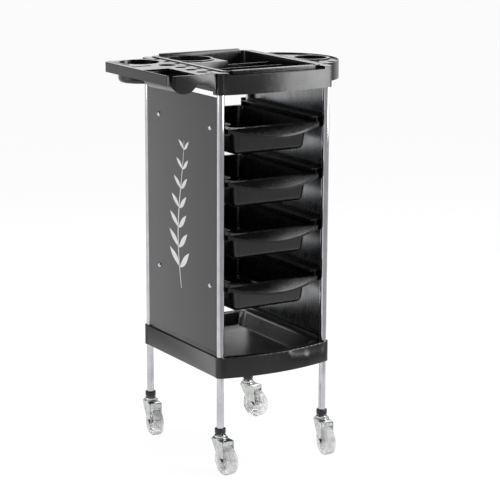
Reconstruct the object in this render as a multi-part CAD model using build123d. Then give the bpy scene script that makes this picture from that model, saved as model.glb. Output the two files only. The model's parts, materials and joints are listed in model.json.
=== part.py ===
from build123d import *
import os

# Salon trolley cart: four chrome posts on swivel casters carry a moulded base tray,
# two sheet side panels with drawer rails, four pull-out trays and a moulded top frame.
# The top frame holds a lift-out tray, a rectangular left wing and a half-round right wing.
# All lengths are in millimetres. X is to the right, Y to the back, Z up.
# Every piece is drawn about the centre of the four posts, with the floor at Z = 0.

# ---- driving dimensions ---------------------------------------------------------------
POST_SPACING_X = 264.0
POST_SPACING_Y = 315.0
OVERALL_HEIGHT = 870.0
POST_DIAMETER = 16.0
POST_WALL = 1.2
MOULD_WALL = 2.6
EDGE_RADIUS = 1.5
SEAT_CLEARANCE = 0.15
SLIDE_CLEARANCE = 0.8
RUNNING_CLEARANCE = 0.05

# ---- casters --------------------------------------------------------------------------
WHEEL_DIAMETER = 64.0
TYRE_WIDTH = 22.0
TYRE_SHOULDER = 5.0
HUB_DIAMETER = 42.0
HUB_WIDTH = 19.0
HUB_DISH_DEPTH = 2.5
HUB_DISH_RIM = 4.0
HUB_BOSS_DIAMETER = 16.0
CASTER_TRAIL = 24.0
AXLE_DIAMETER = 6.0
AXLE_HEAD_DIAMETER = 11.0
AXLE_HEAD_HEIGHT = 3.5
FORK_GAP = 26.0
FORK_PLATE = 2.0
FORK_BACK = 13.0
FORK_FRONT = 29.0
FORK_FOOT_RADIUS = 8.5
FORK_TOP_ABOVE_WHEEL = 12.0
RACE_DIAMETER = 34.0
RACE_HEIGHT = 3.0
RACE_CAP_DIAMETER = 26.0
RACE_CAP_HEIGHT = 6.0
STEM_DIAMETER = 8.0
STEM_FLANGE_DIAMETER = 14.0
STEM_FLANGE_HEIGHT = 2.5
STEM_REACH = 32.0
NECK_HEIGHT = 3.0
SOCKET_DIAMETER = 24.0
SOCKET_HEIGHT = 11.0
SOCKET_FLOOR = 3.0
SOCKET_SLEEVE_HEIGHT = 30.0
CASTER_HEADINGS = {
    "front_left": -86.0,
    "front_right": -98.0,
    "back_left": -96.0,
    "back_right": -71.0,
}

# ---- base tray ------------------------------------------------------------------------
BASE_BOTTOM = 213.0
BASE_HEIGHT = 45.0
BASE_OVERHANG = 10.0
BASE_BOW = 22.0
BASE_CORNER_RADIUS = 10.0
BASE_RIM_SIDE = 24.0
BASE_RIM_FRONT = 16.0
BASE_RIM_BACK = 10.0
BASE_FLOOR_DEPTH = 26.0
BASE_SLOPE_DEGREES = 50.0
BASE_LEDGE_HEIGHT = 10.0
BASE_LEDGE_WIDTH = 14.0
POST_BOSS_WALL = 3.5

# ---- side panels ----------------------------------------------------------------------
PANEL_THICKNESS = 1.5
PANEL_TOP_GAP = 12.0
PANEL_INSET = 2.0
PANEL_FLANGE = 8.0
CAP_DIAMETER = 12.0
CAP_HEIGHT = 3.5
CAP_BACK_Y = 99.0
CAP_FRONT_Y = -124.0
CAP_RISE = 4.0

# ---- drawer rails and pull-out trays ----------------------------------------------------
TRAY_COUNT = 4
RAIL_PITCH = 113.7
TOP_RAIL_DROP = 110.0
RAIL_HEIGHT = 24.5
RAIL_WALL = 2.6
RAIL_GROOVE = 12.5
RAIL_INNER_X = 102.0
RAIL_BACK_GAP = 2.0
RAIL_RIB = 1.6
TRAY_RIM_HEIGHT = 11.0
TRAY_WALL = 2.2
TRAY_DEPTH = 60.0
TRAY_DRAFT_DEGREES = 8.0
TRAY_BODY_GAP = 5.0
TRAY_CORNER_RADIUS = 22.0
TRAY_FLOOR_RADIUS = 13.0
TRAY_RIM_RADIUS = 3.0
TRAY_BODY_FRONT_Y = -150.0
TRAY_HANDLE_Y = -160.0
TRAY_HANDLE_BOW = 26.0
HANDLE_END_DROP = 8.0
HANDLE_SLOPE_DROP = 17.0
HANDLE_MIDDLE_DROP = 21.0

# ---- top frame and lift-out tray --------------------------------------------------------
FRAME_OVERHANG_Y = 9.0
FRAME_SKIRT = 40.0
FRAME_APRON_SKIRT = 46.0
FRAME_BOW = 14.0
FRAME_PLATE = 4.0
FRAME_FRONT_STEP = 6.0
COLUMN_WALL = 3.6
OPENING_INSET_X = 26.0
OPENING_INSET_FRONT = 13.0
OPENING_INSET_BACK = 10.0
INSERT_CLEARANCE = 1.0
INSERT_DEPTH = 38.0
INSERT_FLANGE = 6.0
INSERT_FLANGE_HEIGHT = 2.0
INSERT_CORNER_RADIUS = 12.0
DIVIDER_THICKNESS = 2.4
DIVIDER_HEIGHT = 26.0
DIVIDER_FRONT_Y = -28.0
DIVIDER_BACK_Y = 26.0
BAR_LENGTH = 205.0
BAR_DEPTH = 11.0
FRONT_BAR_HEIGHT = 8.0
BACK_BAR_HEIGHT = 6.5
BAR_LIFT = 1.0
BAR_EDGE_RADIUS = 3.3
COMB_SLOT_COUNT = 6
COMB_SLOT_WIDTH = 11.0
COMB_SLOT_LENGTH = 16.0
COMB_SLOT_PITCH = 46.0
COMB_SLOT_CORNER_RADIUS = 3.0
BOWL_RIM_DIAMETER = 106.0
BOWL_DIAMETER = 98.0
BOWL_DEPTH = 24.0
BOWL_WALL = 2.0
SHELF_DROP = 4.0
BOWL_FOOT_RADIUS = 12.0
BOWL_X = -61.0
BOWL_Y = 95.0

# ---- wings ------------------------------------------------------------------------------
WING_SCREW_DIAMETER = 4.0
WING_SCREW_HEAD_DIAMETER = 8.0
WING_SCREW_HEAD_HEIGHT = 2.2
WING_SCREW_HALF_SPACING = 90.0
WING_SCREW_RISE = 9.0
LEFT_WING_REACH = 110.5
LEFT_WING_FRONT_Y = -160.0
LEFT_WING_BACK_Y = 138.0
LEFT_WING_SKIRT = 21.5
LEFT_WING_CORNER_RADIUS = 16.0
DRYER_CUP_DIAMETER = 92.0
DRYER_CUP_DEPTH = 43.0
DRYER_CUP_FOOT_RADIUS = 9.0
DRYER_CUP_Y = 90.0
DRYER_CUP_EDGE_GAP = 18.0
TROUGH_RADIUS = 34.5
TROUGH_BACK_Y = -36.0
TROUGH_CENTRE_DROP = 4.0
TONG_HOLE_DIAMETER = 37.0
TONG_HOLE_Y = 12.0
BRUSH_HOLE_DIAMETER = 25.0
BRUSH_HOLE_COUNT = 3
BRUSH_HOLE_FIRST_Y = -36.0
BRUSH_HOLE_PITCH = 45.0
BRUSH_HOLE_EDGE_GAP = 14.5
SCISSOR_SLOT_LENGTH = 48.0
SCISSOR_SLOT_WIDTH = 10.0
SCISSOR_SLOT_Y = 22.0
SCISSOR_SLOT_EDGE_GAP = 8.0
GUSSET_REACH = 40.0
GUSSET_DROP = 24.0
GUSSET_BELLY_X = 14.0
GUSSET_BELLY_Z = 7.0
RIGHT_WING_RADIUS = 123.0
RIGHT_WING_REACH = 93.0
RIGHT_WING_Y = -14.0
RIGHT_WING_SKIRT = 40.0
RIGHT_WING_LIP = 4.0
RIGHT_CUP_RIM_DIAMETER = 86.0
RIGHT_CUP_DIAMETER = 77.0
RIGHT_CUP_DEPTH = 34.0
RIGHT_CUP_Y = -8.0
RIGHT_HOLES = [(19.5, -104.0, 24.0), (55.0, -78.0, 18.0), (19.5, -66.0, 20.0)]

# ---- levels and faces worked out from the dimensions above -------------------------------
POST_X = POST_SPACING_X / 2
POST_Y = POST_SPACING_Y / 2
POST_RADIUS = POST_DIAMETER / 2
CORNERS = {
    "front_left": (-POST_X, -POST_Y),
    "front_right": (POST_X, -POST_Y),
    "back_left": (-POST_X, POST_Y),
    "back_right": (POST_X, POST_Y),
}
SIDES = {"left": -1, "right": 1}
WHEEL_RADIUS = WHEEL_DIAMETER / 2
FORK_TOP = WHEEL_DIAMETER + FORK_TOP_ABOVE_WHEEL
RACE_TOP = FORK_TOP + RACE_HEIGHT + RACE_CAP_HEIGHT
SOCKET_BOTTOM = RACE_TOP + NECK_HEIGHT
POST_BOTTOM = SOCKET_BOTTOM + SOCKET_FLOOR
BASE_TOP = BASE_BOTTOM + BASE_HEIGHT
BASE_FLOOR = BASE_TOP - BASE_FLOOR_DEPTH
BASE_HALF_WIDTH = POST_X + BASE_OVERHANG
BASE_HALF_DEPTH = POST_Y + BASE_OVERHANG
PANEL_BOTTOM = BASE_TOP + BASE_LEDGE_HEIGHT
COLUMN_RADIUS = POST_RADIUS + COLUMN_WALL
FRAME_HALF_WIDTH = POST_X + COLUMN_RADIUS
FRAME_HALF_DEPTH = POST_Y + FRAME_OVERHANG_Y
FRAME_BOTTOM = OVERALL_HEIGHT - FRAME_SKIRT
APRON_BOTTOM = OVERALL_HEIGHT - FRAME_APRON_SKIRT
PANEL_TOP = FRAME_BOTTOM - PANEL_TOP_GAP
PANEL_OUTER_X = POST_X + POST_RADIUS - PANEL_INSET
PANEL_INNER_X = PANEL_OUTER_X - PANEL_THICKNESS
PANEL_HALF_DEPTH = POST_Y - POST_RADIUS
RAIL_FRONT_Y = PANEL_THICKNESS - PANEL_HALF_DEPTH
RAIL_BACK_Y = PANEL_HALF_DEPTH - PANEL_THICKNESS - RAIL_BACK_GAP
POST_TOP = OVERALL_HEIGHT - FRAME_PLATE
OPENING_HALF_WIDTH = FRAME_HALF_WIDTH - OPENING_INSET_X
OPENING_FRONT_Y = -FRAME_HALF_DEPTH + OPENING_INSET_FRONT
OPENING_BACK_Y = FRAME_HALF_DEPTH - OPENING_INSET_BACK
RAIL_WEB_OUTER_X = RAIL_INNER_X + RAIL_GROOVE
TRAY_HALF_WIDTH = RAIL_WEB_OUTER_X - SLIDE_CLEARANCE
TRAY_BODY_HALF_WIDTH = RAIL_INNER_X - TRAY_BODY_GAP
TRAY_BACK_Y = RAIL_BACK_Y - RAIL_WALL - SLIDE_CLEARANCE
TRAY_BODY_BACK_Y = TRAY_BACK_Y - TRAY_BODY_GAP
RIGHT_CUP_X = FRAME_HALF_WIDTH + MOULD_WALL + SLIDE_CLEARANCE + RIGHT_CUP_RIM_DIAMETER / 2


def rail_top(level):
    """Top of the drawer rail at a level, counted from 1 at the top."""
    return OVERALL_HEIGHT - TOP_RAIL_DROP - RAIL_PITCH * (level - 1)


def tray_rim_bottom(level):
    """Underside of a tray's rim, a sliding gap above the rail's lower wall."""
    return rail_top(level) - RAIL_HEIGHT + RAIL_WALL + SLIDE_CLEARANCE


# ---- drawing helpers --------------------------------------------------------------------
def prism_z(profile, z_low, z_high):
    """Sweep a profile drawn in X-Y from z_low up to z_high."""
    return extrude(Pos(0, 0, z_low) * profile, amount=z_high - z_low)


def prism_y(profile, y_low, y_high):
    """Sweep a profile drawn in X-Z from y_low back to y_high."""
    return extrude(Plane.XZ.offset(-y_high) * profile, amount=y_high - y_low)


def prism_x(profile, x_low, x_high):
    """Sweep a profile drawn in Y-Z from x_low to x_high."""
    return extrude(Plane.YZ.offset(x_low) * profile, amount=x_high - x_low)


def block(x_low, x_high, y_low, y_high, z_low, z_high):
    """Box between two corners."""
    size = (x_high - x_low, y_high - y_low, z_high - z_low)
    centre = ((x_low + x_high) / 2, (y_low + y_high) / 2, (z_low + z_high) / 2)
    return Pos(*centre) * Box(*size)


def rod(x, y, radius, z_low, z_high):
    """Upright cylinder."""
    return Pos(x, y, (z_low + z_high) / 2) * Cylinder(radius, z_high - z_low)


def rounded_plan(x_low, x_high, y_low, y_high, radius):
    """Rounded rectangle between two corners, in X-Y."""
    plan = RectangleRounded(x_high - x_low, y_high - y_low, radius)
    return Pos((x_low + x_high) / 2, (y_low + y_high) / 2) * plan


def bowed_plan(half_width, front_y, back_y, bow, radius):
    """Rectangle with rounded corners whose front edge bows forward by `bow`."""
    outline = Polyline((half_width, front_y), (half_width, back_y), (-half_width, back_y), (-half_width, front_y))
    front = ThreePointArc((-half_width, front_y), (0, front_y - bow), (half_width, front_y))
    plan = make_face(outline + front)
    return fillet(plan.vertices(), radius)


def cup(x, y, radius, wall, top, depth, foot_radius):
    """Open round cup with a rounded foot, its rim at `top`."""
    outer = rod(x, y, radius, top - depth, top)
    outer = fillet(outer.edges().group_by(Axis.Z)[0], foot_radius)
    inner = rod(x, y, radius - wall, top - depth + wall, top)
    inner = fillet(inner.edges().group_by(Axis.Z)[0], foot_radius - wall)
    return outer - inner


# ---- posts, base and panels ---------------------------------------------------------------
def post(x, y):
    """Chrome tube from the caster socket to the underside of the frame's plate."""
    tube = rod(x, y, POST_RADIUS, POST_BOTTOM, POST_TOP)
    return tube - rod(x, y, POST_RADIUS - POST_WALL, POST_BOTTOM, POST_TOP)


def post_bores(z_low, z_high):
    """Four clearance bores for the posts."""
    return [rod(x, y, POST_RADIUS + SEAT_CLEARANCE, z_low, z_high) for x, y in CORNERS.values()]


def base_tray():
    """Bowed tray with a wide rim, sloping inner walls, an open underside, post bosses and panel ledges."""
    front_y = -BASE_HALF_DEPTH
    outline = bowed_plan(BASE_HALF_WIDTH, front_y, BASE_HALF_DEPTH, BASE_BOW, BASE_CORNER_RADIUS)
    body = prism_z(outline, BASE_BOTTOM, BASE_TOP)
    body = fillet(body.edges().group_by(Axis.Z)[-1], EDGE_RADIUS)
    underside = offset(outline, amount=-MOULD_WALL)
    body -= prism_z(underside, BASE_BOTTOM, BASE_FLOOR - MOULD_WALL)
    mouth = bowed_plan(
        BASE_HALF_WIDTH - BASE_RIM_SIDE,
        front_y + BASE_RIM_FRONT,
        BASE_HALF_DEPTH - BASE_RIM_BACK,
        BASE_BOW,
        BASE_CORNER_RADIUS,
    )
    body -= extrude(Pos(0, 0, BASE_TOP) * mouth, amount=-BASE_FLOOR_DEPTH, taper=BASE_SLOPE_DEGREES)
    for x, y in CORNERS.values():
        body += rod(x, y, POST_RADIUS + POST_BOSS_WALL, BASE_BOTTOM, BASE_TOP)
    for side in SIDES.values():
        inner = side * (PANEL_OUTER_X - BASE_LEDGE_WIDTH)
        x_low, x_high = sorted((inner, side * PANEL_OUTER_X))
        body += block(x_low, x_high, -PANEL_HALF_DEPTH, PANEL_HALF_DEPTH, BASE_FLOOR, PANEL_BOTTOM)
    for bore in post_bores(BASE_BOTTOM, PANEL_BOTTOM):
        body -= bore
    return body


def side_panel(side):
    """Sheet panel with a folded flange against each post and holes for the rail screws."""
    outer = side * PANEL_OUTER_X
    inner = side * PANEL_INNER_X
    x_low, x_high = sorted((outer, inner))
    panel = block(x_low, x_high, -PANEL_HALF_DEPTH, PANEL_HALF_DEPTH, PANEL_BOTTOM, PANEL_TOP)
    flange_x = side * (PANEL_OUTER_X - PANEL_FLANGE)
    x_low, x_high = sorted((outer, flange_x))
    for y_face in (-PANEL_HALF_DEPTH, PANEL_HALF_DEPTH - PANEL_THICKNESS):
        panel += block(x_low, x_high, y_face, y_face + PANEL_THICKNESS, PANEL_BOTTOM, PANEL_TOP)
    return panel


def cap_places():
    """Y and Z of the cap nuts that hold the top and bottom rails."""
    levels = (1, TRAY_COUNT)
    heights = [rail_top(level) - RAIL_HEIGHT / 2 + CAP_RISE for level in levels]
    return [(y, z) for y in (CAP_FRONT_Y, CAP_BACK_Y) for z in heights]


def dome(diameter, height):
    """Shallow dome on the X-Y plane, its crown up."""
    sphere_radius = (diameter ** 2 / 4 + height ** 2) / (2 * height)
    ball = Pos(0, 0, height - sphere_radius) * Sphere(sphere_radius)
    return ball & block(-diameter, diameter, -diameter, diameter, 0, diameter)


def panel_caps(side):
    """Four domed caps seated on the outside of a panel."""
    cap = Rot(0, 90 * side, 0) * dome(CAP_DIAMETER, CAP_HEIGHT)
    return Compound([Pos(side * PANEL_OUTER_X, y, z) * cap for y, z in cap_places()])


def rail(side, level):
    """Drawer rail: a groove that faces inward, a mounting channel behind it and a back stop."""
    top = rail_top(level)
    bottom = top - RAIL_HEIGHT
    pieces = [
        (RAIL_INNER_X, PANEL_INNER_X, RAIL_FRONT_Y, RAIL_BACK_Y, bottom, bottom + RAIL_WALL),
        (RAIL_INNER_X, PANEL_INNER_X, RAIL_FRONT_Y, RAIL_BACK_Y, top - RAIL_WALL, top),
        (RAIL_WEB_OUTER_X, RAIL_WEB_OUTER_X + RAIL_WALL, RAIL_FRONT_Y, RAIL_BACK_Y, bottom, top),
        (RAIL_INNER_X, RAIL_WEB_OUTER_X, RAIL_BACK_Y - RAIL_WALL, RAIL_BACK_Y, bottom, top + 2 * RAIL_WALL),
        (PANEL_INNER_X - RAIL_WALL, PANEL_INNER_X, RAIL_FRONT_Y, RAIL_BACK_Y, bottom, top),
    ]
    channel = RAIL_WEB_OUTER_X + RAIL_WALL
    for share in (1 / 3, 2 / 3):
        rib_x = channel + (PANEL_INNER_X - channel) * share
        pieces.append((rib_x - RAIL_RIB / 2, rib_x + RAIL_RIB / 2, RAIL_FRONT_Y, RAIL_BACK_Y, top, top + RAIL_RIB))
    body = Part()
    for x_in, x_out, y_low, y_high, z_low, z_high in pieces:
        x_low, x_high = sorted((side * x_in, side * x_out))
        body += block(x_low, x_high, y_low, y_high, z_low, z_high)
    return body


# ---- pull-out trays -------------------------------------------------------------------------
def pan(half_width, front_y, back_y, top, depth, wall, foot_radius):
    """Tapered open pan with rounded corners and a rounded floor edge."""
    plan = rounded_plan(-half_width, half_width, front_y, back_y, TRAY_CORNER_RADIUS)
    outer = extrude(Pos(0, 0, top) * plan, amount=-depth, taper=TRAY_DRAFT_DEGREES)
    outer = fillet(outer.edges().group_by(Axis.Z)[0], foot_radius)
    inner_plan = offset(plan, amount=-wall)
    inner = extrude(Pos(0, 0, top) * inner_plan, amount=wall - depth, taper=TRAY_DRAFT_DEGREES)
    inner = fillet(inner.edges().group_by(Axis.Z)[0], foot_radius - wall)
    return outer, inner


def handle_plan(half_width, back_y, front_y):
    """Half-moon between a straight back edge and a bowed front edge."""
    bow = ThreePointArc((-half_width, back_y), (0, front_y), (half_width, back_y))
    return make_face(bow + Line((half_width, back_y), (-half_width, back_y)))


def handle_slope(top):
    """Profile of everything above the handle's sloping face, in Y-Z."""
    over = top + TRAY_RIM_HEIGHT
    front_y = TRAY_HANDLE_Y - TRAY_HANDLE_BOW
    return make_face(
        Polyline(
            (TRAY_HANDLE_Y, top),
            (TRAY_HANDLE_Y, over),
            (front_y, over),
            (front_y, top - HANDLE_SLOPE_DROP),
            close=True,
        )
    )


def tray_handle(rim_top):
    """Bowed, sloping finger lip, open underneath."""
    bottom = rim_top - HANDLE_MIDDLE_DROP
    front_y = TRAY_HANDLE_Y - TRAY_HANDLE_BOW
    reach = TRAY_HALF_WIDTH + 1
    lip = prism_z(handle_plan(TRAY_HALF_WIDTH, TRAY_HANDLE_Y, front_y), bottom, rim_top)
    lip -= prism_x(handle_slope(rim_top), -reach, reach)
    inner_plan = handle_plan(TRAY_HALF_WIDTH - 4 * TRAY_WALL, TRAY_HANDLE_Y, front_y + TRAY_WALL)
    finger_space = prism_z(inner_plan, bottom, rim_top)
    finger_space -= prism_x(handle_slope(rim_top - TRAY_WALL), -reach, reach)
    return lip - finger_space


def below_crescent(rim_top):
    """Everything below the crescent lower edge of the handle."""
    bottom = rim_top - HANDLE_MIDDLE_DROP
    ends = rim_top - HANDLE_END_DROP
    reach = TRAY_HALF_WIDTH + 1
    crescent = ThreePointArc((-reach, ends), (0, bottom), (reach, ends))
    outline = Polyline((reach, ends), (reach, bottom - 1), (-reach, bottom - 1), (-reach, ends))
    front_y = TRAY_HANDLE_Y - TRAY_HANDLE_BOW
    return prism_y(make_face(crescent + outline), front_y - 1, TRAY_HANDLE_Y + TRAY_WALL)


def tray(level):
    """Pull-out tray: tapered pan, running rim and a bowed front handle with a crescent edge."""
    rim_bottom = tray_rim_bottom(level)
    rim_top = rim_bottom + TRAY_RIM_HEIGHT
    rim = rounded_plan(-TRAY_HALF_WIDTH, TRAY_HALF_WIDTH, TRAY_HANDLE_Y, TRAY_BACK_Y, TRAY_RIM_RADIUS)
    body = prism_z(rim, rim_bottom, rim_top)
    body -= prism_z(offset(rim, amount=-TRAY_WALL), rim_bottom, rim_top - TRAY_WALL)
    body += tray_handle(rim_top)
    body -= below_crescent(rim_top)
    outer, inner = pan(
        TRAY_BODY_HALF_WIDTH, TRAY_BODY_FRONT_Y, TRAY_BODY_BACK_Y, rim_top, TRAY_DEPTH, TRAY_WALL, TRAY_FLOOR_RADIUS
    )
    return body + outer - inner


# ---- top frame and what lifts out of it -------------------------------------------------------
def frame_outline():
    """Plan outline of the top frame."""
    return bowed_plan(FRAME_HALF_WIDTH, -FRAME_HALF_DEPTH, FRAME_HALF_DEPTH, FRAME_BOW, COLUMN_RADIUS)


def comb_slot_places():
    """Y of the comb slots in the frame's left ledge."""
    middle = (COMB_SLOT_COUNT - 1) / 2
    return [COMB_SLOT_PITCH * (index - middle) for index in range(COMB_SLOT_COUNT)]


def comb_slot_x():
    """Middle of the frame's left ledge that the lift-out tray leaves free."""
    free_edge = OPENING_HALF_WIDTH + INSERT_FLANGE
    return -(FRAME_HALF_WIDTH + free_edge) / 2


def top_frame():
    """Open frame with corner columns, a bowed apron, a top plate and comb slots."""
    outline = frame_outline()
    body = prism_z(outline, APRON_BOTTOM, OVERALL_HEIGHT)
    body = fillet(body.edges().group_by(Axis.Z)[-1], EDGE_RADIUS)
    body -= prism_z(offset(outline, amount=-MOULD_WALL), APRON_BOTTOM, OVERALL_HEIGHT - FRAME_PLATE)
    reach = FRAME_HALF_WIDTH + 1
    body -= block(-reach, reach, -POST_Y + COLUMN_RADIUS, FRAME_HALF_DEPTH + 1, APRON_BOTTOM, FRAME_BOTTOM)
    for x, y in CORNERS.values():
        column = rod(x, y, COLUMN_RADIUS, APRON_BOTTOM, OVERALL_HEIGHT)
        body += fillet(column.edges().group_by(Axis.Z)[-1], EDGE_RADIUS)
    opening = rounded_plan(
        -OPENING_HALF_WIDTH, OPENING_HALF_WIDTH, OPENING_FRONT_Y, OPENING_BACK_Y, INSERT_CORNER_RADIUS
    )
    body -= prism_z(opening, APRON_BOTTOM, OVERALL_HEIGHT)
    step = POST_X - COLUMN_RADIUS - 1
    front = -FRAME_HALF_DEPTH - FRAME_BOW
    body -= block(-step, step, front, OPENING_FRONT_Y + 2, OVERALL_HEIGHT - FRAME_FRONT_STEP, OVERALL_HEIGHT)
    lip_top = OVERALL_HEIGHT - FRAME_FRONT_STEP
    plate = outline & Pos(0, (front + OPENING_FRONT_Y) / 2) * Rectangle(2 * step, OPENING_FRONT_Y - front)
    body += prism_z(plate, lip_top - MOULD_WALL, lip_top)
    for y in comb_slot_places():
        slot = Pos(comb_slot_x(), y) * RectangleRounded(COMB_SLOT_WIDTH, COMB_SLOT_LENGTH, COMB_SLOT_CORNER_RADIUS)
        body -= prism_z(slot, OVERALL_HEIGHT - FRAME_PLATE, OVERALL_HEIGHT)
    for bore in post_bores(APRON_BOTTOM, POST_TOP + SEAT_CLEARANCE):
        body -= bore
    return body


def rounded_bar(y_middle, z_low, height):
    """Finger bar along X with a rounded top."""
    half = BAR_LENGTH / 2
    bar = block(-half, half, y_middle - BAR_DEPTH / 2, y_middle + BAR_DEPTH / 2, z_low, z_low + height)
    return fillet(bar.edges().group_by(Axis.Z)[-1], BAR_EDGE_RADIUS)


def top_tray():
    """Lift-out tray: pan, seating flange, two finger bars, cross walls and a bowl shelf."""
    half_width = OPENING_HALF_WIDTH - INSERT_CLEARANCE
    front_y = OPENING_FRONT_Y + INSERT_CLEARANCE
    back_y = OPENING_BACK_Y - INSERT_CLEARANCE
    top = OVERALL_HEIGHT + INSERT_FLANGE_HEIGHT
    floor = top - INSERT_DEPTH
    plan = rounded_plan(-half_width, half_width, front_y, back_y, INSERT_CORNER_RADIUS - INSERT_CLEARANCE)
    body = prism_z(plan, floor, top)
    grip = INSERT_CLEARANCE + INSERT_FLANGE
    flange = rounded_plan(
        -half_width - grip, half_width + grip, front_y, back_y + grip, INSERT_CORNER_RADIUS
    )
    body += prism_z(flange, OVERALL_HEIGHT, top)
    bar_z = OVERALL_HEIGHT - FRAME_FRONT_STEP + BAR_LIFT
    body += rounded_bar(front_y + BAR_DEPTH / 2 - grip, bar_z, FRONT_BAR_HEIGHT)
    body += rounded_bar(back_y + grip - BAR_DEPTH / 2, OVERALL_HEIGHT, BACK_BAR_HEIGHT)
    inner_x = half_width - MOULD_WALL
    inner_front = front_y + MOULD_WALL
    inner_back = back_y - MOULD_WALL
    inner = rounded_plan(-inner_x, inner_x, inner_front, inner_back, INSERT_CORNER_RADIUS - MOULD_WALL)
    body -= prism_z(inner, floor + MOULD_WALL, top + FRONT_BAR_HEIGHT)
    wall_top = floor + DIVIDER_HEIGHT
    half = DIVIDER_THICKNESS / 2
    for y in (DIVIDER_FRONT_Y, DIVIDER_BACK_Y):
        body += block(-inner_x, inner_x, y - half, y + half, floor, wall_top)
    shelf_end = BOWL_X + BOWL_RIM_DIAMETER / 2 + MOULD_WALL
    shelf = block(-inner_x, shelf_end, DIVIDER_BACK_Y, inner_back, shelf_top() - MOULD_WALL, shelf_top())
    shelf += block(-inner_x, shelf_end, DIVIDER_BACK_Y - half, DIVIDER_BACK_Y + half, floor, shelf_top())
    body += shelf - rod(BOWL_X, BOWL_Y, BOWL_DIAMETER / 2 + SLIDE_CLEARANCE, floor, top)
    return body


def shelf_top():
    """Height of the shelf that the mixing bowl hangs in."""
    return OVERALL_HEIGHT + INSERT_FLANGE_HEIGHT - SHELF_DROP


def mixing_bowl():
    """Loose bowl whose rim rests on the shelf of the lift-out tray."""
    top = shelf_top() + BOWL_WALL
    body = cup(BOWL_X, BOWL_Y, BOWL_DIAMETER / 2, BOWL_WALL, top, BOWL_DEPTH, BOWL_FOOT_RADIUS)
    rim = rod(BOWL_X, BOWL_Y, BOWL_RIM_DIAMETER / 2, top - BOWL_WALL, top)
    rim -= rod(BOWL_X, BOWL_Y, BOWL_DIAMETER / 2 - BOWL_WALL, top - BOWL_WALL, top)
    return body + rim


# ---- wings ------------------------------------------------------------------------------------
def wing_screw_places(side):
    """Y and Z of the screws that hold a wing to the frame's side wall."""
    skirt = LEFT_WING_SKIRT if side < 0 else RIGHT_WING_SKIRT
    z = OVERALL_HEIGHT - skirt + WING_SCREW_RISE
    return [(-WING_SCREW_HALF_SPACING, z), (WING_SCREW_HALF_SPACING, z)]


def wing_screws(side):
    """Screws through the frame's side wall into a wing, with round heads inside."""
    screws = []
    wall_in = FRAME_HALF_WIDTH - MOULD_WALL
    wall_out = FRAME_HALF_WIDTH + MOULD_WALL
    for y, z in wing_screw_places(side):
        shank = Pos(side * (wall_in + wall_out) / 2, y, z) * Rot(0, 90, 0)
        shank *= Cylinder(WING_SCREW_DIAMETER / 2, wall_out - wall_in)
        head_x = side * (wall_in - WING_SCREW_HEAD_HEIGHT / 2)
        head = Pos(head_x, y, z) * Rot(0, 90, 0)
        head *= Cylinder(WING_SCREW_HEAD_DIAMETER / 2, WING_SCREW_HEAD_HEIGHT)
        screws.append(shank + head)
    return Compound(screws)


def screw_bores(side):
    """Clearance bores for the wing screws."""
    bores = []
    for y, z in wing_screw_places(side):
        place = Pos(side * FRAME_HALF_WIDTH, y, z) * Rot(0, 90, 0)
        bores.append(place * Cylinder(WING_SCREW_DIAMETER / 2 + RUNNING_CLEARANCE, 4 * MOULD_WALL))
    return bores


def dryer_cup_x():
    """Middle of the round hair-dryer cup, measured from the wing's outer edge."""
    return -(FRAME_HALF_WIDTH + LEFT_WING_REACH - DRYER_CUP_EDGE_GAP - DRYER_CUP_DIAMETER / 2)


def trough_x():
    """Middle line of the half-round trough, tangent to the wing's outer wall."""
    return -(FRAME_HALF_WIDTH + LEFT_WING_REACH - TROUGH_RADIUS)


def brush_hole_places():
    """Centres of the row of brush holes beside the frame."""
    x = -(FRAME_HALF_WIDTH + BRUSH_HOLE_EDGE_GAP)
    return [(x, BRUSH_HOLE_FIRST_Y - BRUSH_HOLE_PITCH * index) for index in range(BRUSH_HOLE_COUNT)]


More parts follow.
